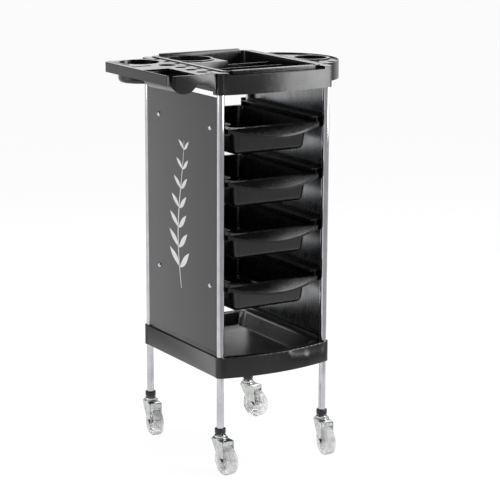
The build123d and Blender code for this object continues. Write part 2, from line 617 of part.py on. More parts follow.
def wing_left():
    """Rectangular shelf with a deep round cup, a half-round trough, holes and a gusset."""
    outer_x = -(FRAME_HALF_WIDTH + LEFT_WING_REACH)
    inner_x = -FRAME_HALF_WIDTH
    top = OVERALL_HEIGHT
    bottom = top - LEFT_WING_SKIRT
    plan = make_face(
        Polyline(
            (inner_x, LEFT_WING_FRONT_Y),
            (inner_x, LEFT_WING_BACK_Y),
            (outer_x, LEFT_WING_BACK_Y),
            (outer_x, LEFT_WING_FRONT_Y),
            close=True,
        )
    )
    plan = fillet(plan.vertices().sort_by(Axis.X)[:2], LEFT_WING_CORNER_RADIUS)
    body = prism_z(plan, bottom, top)
    body = fillet(body.edges().group_by(Axis.Z)[-1].sort_by(Axis.X)[:-1], EDGE_RADIUS)
    body -= prism_z(offset(plan, amount=-MOULD_WALL), bottom, top - MOULD_WALL)
    cup_x = dryer_cup_x()
    cup_radius = DRYER_CUP_DIAMETER / 2
    body -= rod(cup_x, DRYER_CUP_Y, cup_radius - MOULD_WALL, bottom, top)
    body += cup(cup_x, DRYER_CUP_Y, cup_radius, MOULD_WALL, top, DRYER_CUP_DEPTH, DRYER_CUP_FOOT_RADIUS)
    axis_z = top - TROUGH_CENTRE_DROP
    y_low = LEFT_WING_FRONT_Y
    y_high = TROUGH_BACK_Y
    y_middle = (y_low + y_high) / 2
    trough = Pos(trough_x(), y_middle, axis_z) * Rot(90, 0, 0) * Cylinder(TROUGH_RADIUS, y_high - y_low)
    trough &= prism_z(plan, axis_z - TROUGH_RADIUS, axis_z)
    body += trough
    inside = TROUGH_RADIUS - MOULD_WALL
    length = y_high - y_low - 2 * MOULD_WALL
    hollow = Pos(trough_x(), y_middle, axis_z) * Rot(90, 0, 0) * Cylinder(inside, length)
    body -= hollow
    tong_x = inner_x - TONG_HOLE_DIAMETER / 2 - MOULD_WALL
    body -= rod(tong_x, TONG_HOLE_Y, TONG_HOLE_DIAMETER / 2, bottom, top)
    for x, y in brush_hole_places():
        body -= rod(x, y, BRUSH_HOLE_DIAMETER / 2, bottom, top)
    slot_x = outer_x + SCISSOR_SLOT_EDGE_GAP + SCISSOR_SLOT_LENGTH / 2
    slot = Pos(slot_x, SCISSOR_SLOT_Y) * SlotOverall(SCISSOR_SLOT_LENGTH, SCISSOR_SLOT_WIDTH)
    body -= prism_z(slot, bottom, top)
    curve = ThreePointArc(
        (inner_x - GUSSET_REACH, bottom),
        (inner_x - GUSSET_BELLY_X, bottom - GUSSET_BELLY_Z),
        (inner_x, bottom - GUSSET_DROP),
    )
    root = bottom + MOULD_WALL
    sides = Polyline(
        (inner_x, bottom - GUSSET_DROP),
        (inner_x, root),
        (inner_x - GUSSET_REACH, root),
        (inner_x - GUSSET_REACH, bottom),
    )
    gusset = make_face(curve + sides)
    for y in (LEFT_WING_FRONT_Y, LEFT_WING_BACK_Y - MOULD_WALL):
        body += prism_y(gusset, y, y + MOULD_WALL)
    for bore in screw_bores(-1):
        body -= bore
    return body


def right_wing_plan(inset):
    """Round segment on the frame's right wall, drawn in by `inset`."""
    centre_x = FRAME_HALF_WIDTH + RIGHT_WING_REACH - RIGHT_WING_RADIUS
    disc = Pos(centre_x, RIGHT_WING_Y) * Circle(RIGHT_WING_RADIUS - inset)
    keep_width = RIGHT_WING_REACH - inset
    keep_x = FRAME_HALF_WIDTH + inset + keep_width / 2
    return disc & Pos(keep_x, RIGHT_WING_Y) * Rectangle(keep_width, 2 * RIGHT_WING_RADIUS)


def wing_right():
    """Half-round shelf with a raised lip, a seat for the round cup and holder holes."""
    top = OVERALL_HEIGHT
    bottom = top - RIGHT_WING_SKIRT
    deck = top - RIGHT_WING_LIP
    body = prism_z(right_wing_plan(0), bottom, top)
    body -= prism_z(right_wing_plan(MOULD_WALL), bottom, deck - MOULD_WALL)
    body -= prism_z(right_wing_plan(MOULD_WALL), deck, top)
    body -= rod(RIGHT_CUP_X, RIGHT_CUP_Y, RIGHT_CUP_DIAMETER / 2 + SLIDE_CLEARANCE, bottom, top)
    for from_frame, y, diameter in RIGHT_HOLES:
        body -= rod(FRAME_HALF_WIDTH + from_frame, y, diameter / 2, bottom, deck)
    for bore in screw_bores(1):
        body -= bore
    return body


def right_cup():
    """Loose round cup with a broad rim that rests on the right wing's deck."""
    top = OVERALL_HEIGHT - RIGHT_WING_LIP + MOULD_WALL
    body = cup(RIGHT_CUP_X, RIGHT_CUP_Y, RIGHT_CUP_DIAMETER / 2, MOULD_WALL, top, RIGHT_CUP_DEPTH, DRYER_CUP_FOOT_RADIUS)
    rim = rod(RIGHT_CUP_X, RIGHT_CUP_Y, RIGHT_CUP_RIM_DIAMETER / 2, top - MOULD_WALL, top)
    rim -= rod(RIGHT_CUP_X, RIGHT_CUP_Y, RIGHT_CUP_DIAMETER / 2 - MOULD_WALL, top - MOULD_WALL, top)
    return body + rim


# ---- casters, drawn at the origin with the wheel trailing along +X ------------------------------
def caster_socket():
    """Plastic collar and sleeve that plug the post's lower end and hold the stem."""
    top = SOCKET_BOTTOM + SOCKET_HEIGHT
    body = rod(0, 0, SOCKET_DIAMETER / 2, SOCKET_BOTTOM, top)
    body = fillet(body.edges(), EDGE_RADIUS)
    body -= rod(0, 0, POST_RADIUS + SEAT_CLEARANCE, POST_BOTTOM, top)
    sleeve_radius = POST_RADIUS - POST_WALL - SEAT_CLEARANCE
    body += rod(0, 0, sleeve_radius, POST_BOTTOM, POST_BOTTOM + SOCKET_SLEEVE_HEIGHT)
    return body - rod(0, 0, STEM_DIAMETER / 2, SOCKET_BOTTOM, POST_BOTTOM + SOCKET_SLEEVE_HEIGHT)


def caster_stem():
    """King pin: flange under the fork's top, shank through the race into the socket."""
    plate_bottom = FORK_TOP - FORK_PLATE
    flange_top = plate_bottom - RUNNING_CLEARANCE
    shank = rod(0, 0, STEM_DIAMETER / 2, flange_top, SOCKET_BOTTOM + STEM_REACH)
    flange = rod(0, 0, STEM_FLANGE_DIAMETER / 2, flange_top - STEM_FLANGE_HEIGHT, flange_top)
    collar = rod(0, 0, STEM_DIAMETER / 2 + 1.5, RACE_TOP + RUNNING_CLEARANCE, SOCKET_BOTTOM)
    return shank + fillet(flange.edges().group_by(Axis.Z)[0], 0.8) + collar


def fork_leg_profile():
    """Leg outline: broad under the race, tapering to a round foot at the axle."""
    foot = Pos(CASTER_TRAIL, WHEEL_RADIUS) * Circle(FORK_FOOT_RADIUS)
    top_left = (-FORK_BACK, FORK_TOP)
    top_right = (FORK_FRONT, FORK_TOP)
    top_edge = Line(top_left, top_right)
    return make_hull(foot.edges() + top_edge.edges())


def caster_fork():
    """Pressed fork with two legs, a hood and a raised swivel race."""
    half_outer = FORK_GAP / 2 + FORK_PLATE
    leg = fork_leg_profile()
    body = prism_y(leg, -half_outer, -FORK_GAP / 2) + prism_y(leg, FORK_GAP / 2, half_outer)
    web_bottom = FORK_TOP - FORK_PLATE
    body += block(-FORK_BACK, FORK_FRONT, -half_outer, half_outer, web_bottom, FORK_TOP)
    hood_bottom = FORK_TOP - FORK_TOP_ABOVE_WHEEL + 2
    body += block(FORK_FRONT - FORK_PLATE, FORK_FRONT, -half_outer, half_outer, hood_bottom, FORK_TOP)
    race = rod(0, 0, RACE_DIAMETER / 2, FORK_TOP, FORK_TOP + RACE_HEIGHT)
    body += fillet(race.edges().group_by(Axis.Z)[-1], 1.2)
    ring = rod(0, 0, RACE_CAP_DIAMETER / 2, FORK_TOP + RACE_HEIGHT, RACE_TOP)
    body += fillet(ring.edges().group_by(Axis.Z)[-1], 2.0)
    body -= rod(0, 0, STEM_DIAMETER / 2 + RUNNING_CLEARANCE, web_bottom, RACE_TOP)
    hole = Pos(CASTER_TRAIL, 0, WHEEL_RADIUS) * Rot(90, 0, 0) * Cylinder(AXLE_DIAMETER / 2, 2 * half_outer)
    return body - hole


def hexagon(across_flats):
    """Regular hexagon of a bolt head."""
    return RegularPolygon(across_flats / 2, 6, major_radius=False)


def caster_axle():
    """Axle bolt with a hexagon head on one leg and a nut on the other."""
    half_outer = FORK_GAP / 2 + FORK_PLATE
    head = extrude(Plane.XZ.offset(half_outer) * hexagon(AXLE_HEAD_DIAMETER), amount=AXLE_HEAD_HEIGHT)
    nut = extrude(Plane.XZ.offset(-half_outer) * hexagon(AXLE_HEAD_DIAMETER), amount=-AXLE_HEAD_HEIGHT)
    length = 2 * (half_outer + AXLE_HEAD_HEIGHT)
    shank = Rot(90, 0, 0) * Cylinder(AXLE_DIAMETER / 2, length)
    return Pos(CASTER_TRAIL, 0, WHEEL_RADIUS) * (shank + head + nut)


def wheel_place(shape):
    """Turn a disc drawn about Z onto the axle line."""
    return Pos(CASTER_TRAIL, 0, WHEEL_RADIUS) * Rot(90, 0, 0) * shape


def caster_tyre():
    """Clear tyre with rounded shoulders."""
    body = Cylinder(WHEEL_RADIUS, TYRE_WIDTH)
    body = fillet(body.edges(), TYRE_SHOULDER)
    return wheel_place(body - Cylinder(HUB_DIAMETER / 2, TYRE_WIDTH))


def caster_hub():
    """Wheel centre with a dished ring on both faces and a running bore."""
    body = Cylinder(HUB_DIAMETER / 2, HUB_WIDTH)
    ring_outer = HUB_DIAMETER / 2 - HUB_DISH_RIM
    for end in (-1, 1):
        dish = Cylinder(ring_outer, HUB_DISH_DEPTH) - Cylinder(HUB_BOSS_DIAMETER / 2, HUB_DISH_DEPTH)
        body -= Pos(0, 0, end * (HUB_WIDTH - HUB_DISH_DEPTH) / 2) * dish
        boss_height = FORK_GAP / 2 - HUB_WIDTH / 2 - SLIDE_CLEARANCE
        body += Pos(0, 0, end * (HUB_WIDTH + boss_height) / 2) * Cylinder(HUB_BOSS_DIAMETER / 2, boss_height)
    return wheel_place(body - Cylinder(AXLE_DIAMETER / 2 + RUNNING_CLEARANCE, FORK_GAP))


# ---- assembly -----------------------------------------------------------------------------------
def cart_nodes():
    """Every node of the cart, about the centre of the posts."""
    nodes = {"base_tray": base_tray(), "top_frame": top_frame()}
    for corner, (x, y) in CORNERS.items():
        nodes[f"post_{corner}"] = post(x, y)
        place = Pos(x, y, 0) * Rot(0, 0, CASTER_HEADINGS[corner])
        nodes[f"caster_socket_{corner}"] = place * caster_socket()
        nodes[f"caster_stem_{corner}"] = place * caster_stem()
        nodes[f"caster_fork_{corner}"] = place * caster_fork()
        nodes[f"caster_axle_{corner}"] = place * caster_axle()
        nodes[f"caster_hub_{corner}"] = place * caster_hub()
        nodes[f"caster_tyre_{corner}"] = place * caster_tyre()
    for name, side in SIDES.items():
        nodes[f"side_panel_{name}"] = side_panel(side)
        nodes[f"panel_caps_{name}"] = panel_caps(side)
        nodes[f"wing_screws_{name}"] = wing_screws(side)
        for level in range(1, TRAY_COUNT + 1):
            nodes[f"rail_{name}_{level}"] = rail(side, level)
    for bore in screw_bores(-1) + screw_bores(1):
        nodes["top_frame"] -= bore
    for level in range(1, TRAY_COUNT + 1):
        nodes[f"tray_{level}"] = tray(level)
    nodes["wing_left"] = wing_left()
    nodes["wing_right"] = wing_right()
    nodes["right_cup"] = right_cup()
    nodes["top_tray"] = top_tray()
    nodes["mixing_bowl"] = mixing_bowl()
    return nodes


def footprint_shift(nodes):
    """Move that puts the middle of the cart's outline over the origin."""
    boxes = [shape.bounding_box() for shape in nodes.values()]
    middle_x = (min(box.min.X for box in boxes) + max(box.max.X for box in boxes)) / 2
    middle_y = (min(box.min.Y for box in boxes) + max(box.max.Y for box in boxes)) / 2
    return Pos(-middle_x, -middle_y, -min(box.min.Z for box in boxes))


os.makedirs("parts", exist_ok=True)
cart = cart_nodes()
shift = footprint_shift(cart)
print("cart moved by", shift.position)
for node_name, shape in cart.items():
    export_step(shift * shape, f"parts/{node_name}.step")
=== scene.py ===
import json
import logging
import math
from dataclasses import dataclass, field
from enum import Enum
from typing import Iterable, Optional, Sequence

import bmesh
import bpy
from mathutils import Matrix, Vector


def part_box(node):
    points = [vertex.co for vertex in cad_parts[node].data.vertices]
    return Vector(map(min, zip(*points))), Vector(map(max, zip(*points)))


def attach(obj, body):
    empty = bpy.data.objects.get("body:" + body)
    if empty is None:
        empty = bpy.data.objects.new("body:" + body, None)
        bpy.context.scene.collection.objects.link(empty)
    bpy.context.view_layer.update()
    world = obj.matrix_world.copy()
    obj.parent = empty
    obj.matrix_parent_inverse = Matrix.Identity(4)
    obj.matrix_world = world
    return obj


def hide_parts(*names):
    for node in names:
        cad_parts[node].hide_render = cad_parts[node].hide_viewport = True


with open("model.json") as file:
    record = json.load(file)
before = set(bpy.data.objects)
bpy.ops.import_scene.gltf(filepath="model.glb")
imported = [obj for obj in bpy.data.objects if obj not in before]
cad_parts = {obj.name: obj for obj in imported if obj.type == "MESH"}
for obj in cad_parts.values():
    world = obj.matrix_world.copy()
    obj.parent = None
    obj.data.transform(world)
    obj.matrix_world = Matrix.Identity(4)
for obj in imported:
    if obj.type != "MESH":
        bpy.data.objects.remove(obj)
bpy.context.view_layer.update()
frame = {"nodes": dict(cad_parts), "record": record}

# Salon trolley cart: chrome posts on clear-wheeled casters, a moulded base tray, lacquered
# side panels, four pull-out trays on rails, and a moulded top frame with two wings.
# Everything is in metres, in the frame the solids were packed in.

LOG = logging.getLogger("trolley")
MM = 0.001
WELD_DISTANCE = 2e-6
SAME_PLACE = 1e-6


class Corner(Enum):
    """The four posts, by where they stand."""

    FRONT_LEFT = "front_left"
    FRONT_RIGHT = "front_right"
    BACK_LEFT = "back_left"
    BACK_RIGHT = "back_right"


class Side(Enum):
    """Left or right side of the cart, with the sign of its X."""

    LEFT = -1
    RIGHT = 1

    @property
    def word(self) -> str:
        """Word used in node names."""
        return self.name.lower()


class Spread(Enum):
    """Direction that a surface pattern is stretched along."""

    EVEN = (1.0, 1.0, 1.0)
    UPRIGHT = (1.0, 1.0, 0.02)
    FORE_AND_AFT = (1.0, 0.03, 1.0)


# ---- colour and node helpers --------------------------------------------------------------
def linear(srgb_hex: str, alpha: float = 1.0) -> tuple[float, float, float, float]:
    """Turn an sRGB hex colour to linear.

    Args:
        srgb_hex: six hex digits.
        alpha: opacity to append.

    Returns:
        Linear red, green, blue and alpha.
    """
    parts = [int(srgb_hex[i : i + 2], 16) / 255 for i in (0, 2, 4)]
    curve = [c / 12.92 if c <= 0.04045 else ((c + 0.055) / 1.055) ** 2.4 for c in parts]
    return (curve[0], curve[1], curve[2], alpha)


def per_metre(size_mm: float) -> float:
    """Pattern scale that makes one feature `size_mm` across."""
    return 1000.0 / size_mm


def add_node(
    tree: bpy.types.NodeTree,
    kind: str,
    values: Optional[dict] = None,
    links: Optional[dict] = None,
    **settings: object,
) -> bpy.types.Node:
    """Add a node with its settings, socket values and incoming links.

    Args:
        tree: node tree to add to.
        kind: node type name.
        values: socket values by socket name or index.
        links: output sockets by the input socket they feed.
        settings: node properties.

    Returns:
        The new node.
    """
    node = tree.nodes.new(kind)
    for name, value in settings.items():
        setattr(node, name, value)
    for socket, value in (values or {}).items():
        node.inputs[socket].default_value = value
    for socket, source in (links or {}).items():
        tree.links.new(source, node.inputs[socket])
    return node


def noise(
    tree: bpy.types.NodeTree,
    size_mm: float,
    spread: Spread = Spread.EVEN,
    detail: float = 3.0,
) -> bpy.types.NodeSocket:
    """Noise in object space with features of a real size.

    Args:
        tree: node tree to add to.
        size_mm: size of one feature.
        spread: direction the features are stretched along.
        detail: octaves of finer noise.

    Returns:
        The noise's value socket.
    """
    place = add_node(tree, "ShaderNodeTexCoord")
    turned = add_node(
        tree,
        "ShaderNodeMapping",
        values={"Scale": spread.value},
        links={"Vector": place.outputs["Object"]},
    )
    cloud = add_node(
        tree,
        "ShaderNodeTexNoise",
        values={"Scale": per_metre(size_mm), "Detail": detail, "Roughness": 0.55},
        links={"Vector": turned.outputs["Vector"]},
    )
    return cloud.outputs["Fac"]


def spread_range(
    tree: bpy.types.NodeTree, source: bpy.types.NodeSocket, low: float, high: float
) -> bpy.types.NodeSocket:
    """Stretch a noise value over a range.

    Args:
        tree: node tree to add to.
        source: noise value.
        low: value where the noise is low.
        high: value where the noise is high.

    Returns:
        The ranged value socket.
    """
    ranged = add_node(
        tree,
        "ShaderNodeMapRange",
        values={"From Min": 0.3, "From Max": 0.7, "To Min": low, "To Max": high},
        links={"Value": source},
    )
    return ranged.outputs["Result"]


def two_tones(
    tree: bpy.types.NodeTree, source: bpy.types.NodeSocket, first: str, second: str
) -> bpy.types.NodeSocket:
    """Blend two colours by a noise value.

    Args:
        tree: node tree to add to.
        source: noise value.
        first: sRGB hex where the noise is low.
        second: sRGB hex where the noise is high.

    Returns:
        The colour socket.
    """
    share = spread_range(tree, source, 0.0, 1.0)
    mix = add_node(
        tree,
        "ShaderNodeMix",
        data_type="RGBA",
        values={6: linear(first), 7: linear(second)},
        links={0: share},
    )
    return mix.outputs[2]


def stacked_bump(
    tree: bpy.types.NodeTree, layers: Sequence[tuple[bpy.types.NodeSocket, float]]
) -> bpy.types.NodeSocket:
    """Lay several bumps over each other.

    Args:
        tree: node tree to add to.
        layers: height sockets with the height of each in metres.

    Returns:
        The normal socket of the topmost bump.
    """
    normal = None
    for height, distance in layers:
        links = {"Height": height}
        if normal is not None:
            links["Normal"] = normal
        bump = add_node(
            tree, "ShaderNodeBump", values={"Strength": 1.0, "Distance": distance}, links=links
        )
        normal = bump.outputs["Normal"]
    return normal


# ---- finishes -------------------------------------------------------------------------------
@dataclass(frozen=True)
class Finish:
    """What a surface is made of and how it was finished.

    Attributes:
        name: maker's name of the finish.
        tone: main sRGB colour.
        second_tone: colour it drifts to.
        roughness: lowest and highest roughness.
        drift_mm: size of the slow drift in tone and gloss.
        grain_mm: size of the surface grain.
        grain_depth_mm: height of the surface grain.
        spread: direction of the grain.
    """

    name: str
    tone: str
    second_tone: str
    roughness: tuple[float, float]
    drift_mm: float
    grain_mm: float
    grain_depth_mm: float
    spread: Spread = Spread.EVEN

    def shader_values(self) -> dict:
        """Constant values of the surface shader."""
        return {}

    def material(self) -> bpy.types.Material:
        """Material of this finish, made once."""
        known = bpy.data.materials.get(self.name)
        return known if known is not None else self.make()

    def make(self) -> bpy.types.Material:
        """Build the material.

        Returns:
            The new material.
        """
        made = bpy.data.materials.new(self.name)
        made.use_nodes = True
        tree = made.node_tree
        tree.nodes.clear()
        drift = noise(tree, self.drift_mm)
        grain = noise(tree, self.grain_mm, self.spread, detail=2.0)
        gloss = add_node(
            tree,
            "ShaderNodeMath",
            operation="ADD",
            links={
                0: spread_range(tree, drift, *self.roughness),
                1: spread_range(tree, grain, -0.02, 0.02),
            },
        )
        shader = add_node(
            tree,
            "ShaderNodeBsdfPrincipled",
            values=self.shader_values(),
            links={
                "Base Color": self.colour(tree, drift, grain),
                "Roughness": gloss.outputs["Value"],
                "Normal": stacked_bump(tree, self.bumps(tree, drift, grain)),
            },
        )
        add_node(
            tree, "ShaderNodeOutputMaterial", links={"Surface": shader.outputs["BSDF"]}
        )
        return made

    def colour(
        self, tree: bpy.types.NodeTree, drift: bpy.types.NodeSocket, grain: bpy.types.NodeSocket
    ) -> bpy.types.NodeSocket:
        """Colour over the surface.

        Args:
            tree: the material's node tree.
            drift: slow noise.
            grain: fine noise.

        Returns:
            The colour socket.
        """
        return two_tones(tree, drift, self.tone, self.second_tone)

    def bumps(
        self, tree: bpy.types.NodeTree, drift: bpy.types.NodeSocket, grain: bpy.types.NodeSocket
    ) -> list[tuple[bpy.types.NodeSocket, float]]:
        """Height layers of the surface.

        Args:
            tree: the material's node tree.
            drift: slow noise.
            grain: fine noise.

        Returns:
            Height sockets with their heights in metres.
        """
        return [(grain, self.grain_depth_mm * MM)]


@dataclass(frozen=True)
class MouldedPlastic(Finish):
    """Injection-moulded ABS: a satin gloss with slight sinks and handling scuffs."""

    scuff_mm: float = 1.6

    def shader_values(self) -> dict:
        """ABS refracts like most plastics."""
        return {"IOR": 1.53, "Specular IOR Level": 0.5}

    def bumps(
        self, tree: bpy.types.NodeTree, drift: bpy.types.NodeSocket, grain: bpy.types.NodeSocket
    ) -> list[tuple[bpy.types.NodeSocket, float]]:
        """Tool grain, long scuffs and sink marks; the scuffs are drawn coarser than real ones.

        Args:
            tree: the material's node tree.
            drift: slow noise.
            grain: fine noise.

        Returns:
            Height sockets with their heights in metres.
        """
        scuffs = noise(tree, self.scuff_mm, Spread.FORE_AND_AFT, detail=1.0)
        return [(drift, 0.05 * MM), (scuffs, 0.0015 * MM), (grain, self.grain_depth_mm * MM)]


@dataclass(frozen=True)
class PlatedMetal(Finish):
    """Plated metal: a mirror with faint drawing lines and dull patches."""

    def shader_values(self) -> dict:
        """A bare metal surface."""
        return {"Metallic": 1.0}


@dataclass(frozen=True)
class BrushedMetal(Finish):
    """Brushed stainless sheet: upright scratches that spread the highlights sideways."""

    def shader_values(self) -> dict:
        """A bare metal whose highlights stretch across the brushing."""
        return {"Metallic": 1.0, "Anisotropic": 0.5}

    def colour(
        self, tree: bpy.types.NodeTree, drift: bpy.types.NodeSocket, grain: bpy.types.NodeSocket
    ) -> bpy.types.NodeSocket:
        """The brushing itself darkens and lightens the metal.

        Args:
            tree: the material's node tree.
            drift: slow noise.
            grain: fine noise.

        Returns:
            The colour socket.
        """
        return two_tones(tree, grain, self.tone, self.second_tone)


@dataclass(frozen=True)
class Lacquer(Finish):
    """Stoved lacquer on sheet steel: a soft sheen with orange peel and fine mica."""

    def shader_values(self) -> dict:
        """A mica lacquer under a thin clear coat."""
        return {"Metallic": 0.35, "IOR": 1.5, "Coat Weight": 0.25, "Coat Roughness": 0.3}


@dataclass(frozen=True)
class ClearUrethane(Finish):
    """Cast clear polyurethane: glassy, slightly milky, with flow lines."""

    def shader_values(self) -> dict:
        """Clear and slightly refracting."""
        return {"IOR": 1.22, "Transmission Weight": 0.7, "Specular IOR Level": 0.6}


@dataclass(frozen=True)
class ScreenInk(Finish):
    """Screen-printed ink: flat, thick enough to show its edge."""

    def shader_values(self) -> dict:
        """Dull ink."""
        return {"IOR": 1.48}


# Satin-gloss black ABS: deep black that picks up pale, blurred reflections.
BLACK_ABS = MouldedPlastic("moulded_black_abs", "0C0C0D", "131314", (0.2, 0.28), 55.0, 0.9, 0.002)
# The trays are the same resin from a finer tool, a touch glossier.
TRAY_ABS = MouldedPlastic("moulded_tray_abs", "0B0B0C", "111112", (0.22, 0.3), 40.0, 0.8, 0.002)
# Extruded black rail stock: dull die lines along its length.
RAIL_ABS = MouldedPlastic(
    "extruded_black_abs", "0D0D0E", "151516", (0.26, 0.36), 35.0, 0.8, 0.003, Spread.FORE_AND_AFT
)
# Black nylon collars: duller and slightly grey.
COLLAR_NYLON = MouldedPlastic("moulded_black_nylon", "0E0E0F", "171718", (0.3, 0.42), 9.0, 0.7, 0.004)
# Chrome plate on steel tube: near mirror, cool grey.
CHROME = PlatedMetal("chrome_plate", "CACACE", "BABABF", (0.06, 0.13), 30.0, 1.1, 0.0006, Spread.UPRIGHT)
# Bright zinc on pressed steel: a faint green-grey cast, with softer reflections than chrome.
ZINC = PlatedMetal("bright_zinc_plate", "D6D8D6", "AEB1AF", (0.16, 0.26), 9.0, 1.2, 0.003)
# Brushed stainless sheet: upright grain in light and dark grey.
BRUSHED = BrushedMetal(
    "brushed_stainless", "808184", "9C9DA0", (0.22, 0.32), 45.0, 0.8, 0.002, Spread.UPRIGHT
)
# Dark grey mica lacquer on the outside of the panels.
PANEL_LACQUER = Lacquer("grey_mica_lacquer", "3E3E40", "454547", (0.3, 0.38), 90.0, 1.4, 0.003)
# Clear wheel tread and centre: glassy with faint milkiness.
CLEAR_TREAD = ClearUrethane("clear_polyurethane", "FFFFFF", "F6F6F7", (0.14, 0.24), 8.0, 2.0, 0.01)
CLEAR_CENTRE = ClearUrethane("clear_polycarbonate", "FFFFFF", "F4F4F5", (0.16, 0.28), 6.0, 1.5, 0.01)
# White screen ink of the ornament on the left panel.
WHITE_INK = ScreenInk("white_screen_ink", "F4F4F2", "ECECEA", (0.4, 0.5), 20.0, 1.0, 0.004)


# ---- mesh helpers ---------------------------------------------------------------------------
def put(
    shape: bmesh.types.BMesh,
    name: str,
    body: str,
    finishes: Sequence[Finish],
    replaces: Iterable[str] = (),
    smooth_degrees: float = 35.0,
) -> bpy.types.Object:
    """Turn a bmesh into a dressed piece that rides on a body.

    Args:
        shape: finished geometry, in place.
        name: the piece's name.
        body: body it rides on.
        finishes: finishes by material index.
        replaces: nodes the piece stands for.
        smooth_degrees: edges flatter than this are shaded smooth.

    Returns:
        The new object.
    """
    mesh = bpy.data.meshes.new(name)
    shape.to_mesh(mesh)
    shape.free()
    for finish in finishes:
        mesh.materials.append(finish.material())
    mesh.shade_smooth()
    mesh.set_sharp_from_angle(angle=math.radians(smooth_degrees))
    piece = bpy.data.objects.new(name, mesh)
    bpy.context.scene.collection.objects.link(piece)
    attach(piece, body)
    names = list(replaces)
    if names:
        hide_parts(*names)
    return piece


def spun(profile: Sequence[tuple[float, float]], steps: int, closed: bool = True) -> bmesh.types.BMesh:
    """Spin a profile of (radius, height) points round Z.

    Args:
        profile: points in metres; a closed ring when `closed`.
        steps: segments round the axis.
        closed: whether the last point joins the first.

    Returns:
        The spun shape.
    """
    shape = bmesh.new()
    points = [shape.verts.new((radius, 0.0, height)) for radius, height in profile]
    pairs = list(zip(points, points[1:]))
    if closed:
        pairs.append((points[-1], points[0]))
    edges = [shape.edges.new(pair) for pair in pairs]
    bmesh.ops.spin(
        shape,
        geom=points + edges,
        axis=(0, 0, 1),
        cent=(0, 0, 0),
        steps=steps,
        angle=math.tau,
        use_merge=True,
    )
    bmesh.ops.remove_doubles(shape, verts=shape.verts, dist=1e-6)
    bmesh.ops.recalc_face_normals(shape, faces=shape.faces)
    return shape


def soften(shape: bmesh.types.BMesh, radius: float, segments: int, from_degrees: float = 40.0) -> None:
    """Round every edge sharper than an angle.

    Args:
        shape: geometry to round, changed in place.
        radius: rounding in metres.
        segments: steps across the rounding.
        from_degrees: edges flatter than this stay.
    """
    limit = math.radians(from_degrees)
    edges = [e for e in shape.edges if len(e.link_faces) == 2 and e.calc_face_angle(0.0) > limit]
    bmesh.ops.bevel(
        shape,
        geom=edges,
        offset=radius,
        segments=segments,
        profile=0.5,
        affect="EDGES",
        material=-1,
        clamp_overlap=True,
    )


def merge_into(target: bmesh.types.BMesh, extra: bmesh.types.BMesh, material: int = 0) -> None:
    """Add one shape's geometry to another.

    Args:
        target: shape that grows.
        extra: shape that is added and then freed.
        material: material index for the added faces.
    """
    for face in extra.faces:
        face.material_index = material
    held = bpy.data.meshes.new("held")
    extra.to_mesh(held)
    extra.free()
    target.from_mesh(held)
    bpy.data.meshes.remove(held)


@dataclass
class DressedNode:
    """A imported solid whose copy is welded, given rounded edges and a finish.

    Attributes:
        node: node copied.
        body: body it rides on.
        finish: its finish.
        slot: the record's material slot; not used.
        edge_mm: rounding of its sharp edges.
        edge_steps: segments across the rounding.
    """

    node: str
    body: str
    finish: Finish
    slot: str
    edge_mm: float = 0.5
    edge_steps: int = 2

    def build(self) -> bpy.types.Object:
        """Make the dressed copy.

        Returns:
            The new piece.
        """
        shape = bmesh.new()
        shape.from_mesh(frame["nodes"][self.node].data)
        bmesh.ops.remove_doubles(shape, verts=shape.verts, dist=WELD_DISTANCE)
        bmesh.ops.dissolve_degenerate(shape, edges=shape.edges, dist=SAME_PLACE)
        piece = put(
            shape, f"{self.node}_dressed", self.body, [self.finish], [self.node], 30.0
        )
        if self.edge_mm > 0:
            rounding = piece.modifiers.new("edge_rounding", "BEVEL")
            rounding.width = self.edge_mm * MM
            rounding.segments = self.edge_steps
            rounding.limit_method = "ANGLE"
            rounding.angle_limit = math.radians(38.0)
            rounding.profile = 0.5
            rounding.harden_normals = True
            rounding.use_clamp_overlap = True
        return piece


# ---- sub-assemblies ---------------------------------------------------------------------------
@dataclass
class Posts:
    """Four chrome tubes."""

    edge_mm: float = 0.3

    def build(self) -> None:
        """Dress each post."""
        for corner in Corner:
            DressedNode(f"post_{corner.value}", "cart", CHROME, "chrome", self.edge_mm, 1).build()


@dataclass
class Mouldings:
    """Base tray, top frame, wings and loose trays, all of black ABS."""

    nodes: dict[str, str] = field(
        default_factory=lambda: {
            "base_tray": "cart",
            "top_frame": "cart",
            "wing_left": "cart",
            "wing_right": "cart",
            "top_tray": "top_tray",
            "mixing_bowl": "mixing_bowl",
            "right_cup": "right_cup",
        }
    )
    edge_mm: float = 0.6

    def build(self) -> None:
        """Dress each moulding."""
        for node, body in self.nodes.items():
            DressedNode(node, body, BLACK_ABS, "black_moulding", self.edge_mm, 2).build()


@dataclass
class PullOutTrays:
    """Four pull-out trays and their rails."""

    count: int = 4
    edge_mm: float = 0.5
    rail_edge_mm: float = 0.35

    def build(self) -> None:
        """Dress the trays and the rails."""
        for level in range(1, self.count + 1):
            DressedNode(
                f"tray_{level}", f"tray_{level}", TRAY_ABS, "black_moulding", self.edge_mm
            ).build()
            for side in Side:
                DressedNode(
                    f"rail_{side.word}_{level}", "cart", RAIL_ABS, "black_rail", self.rail_edge_mm
                ).build()


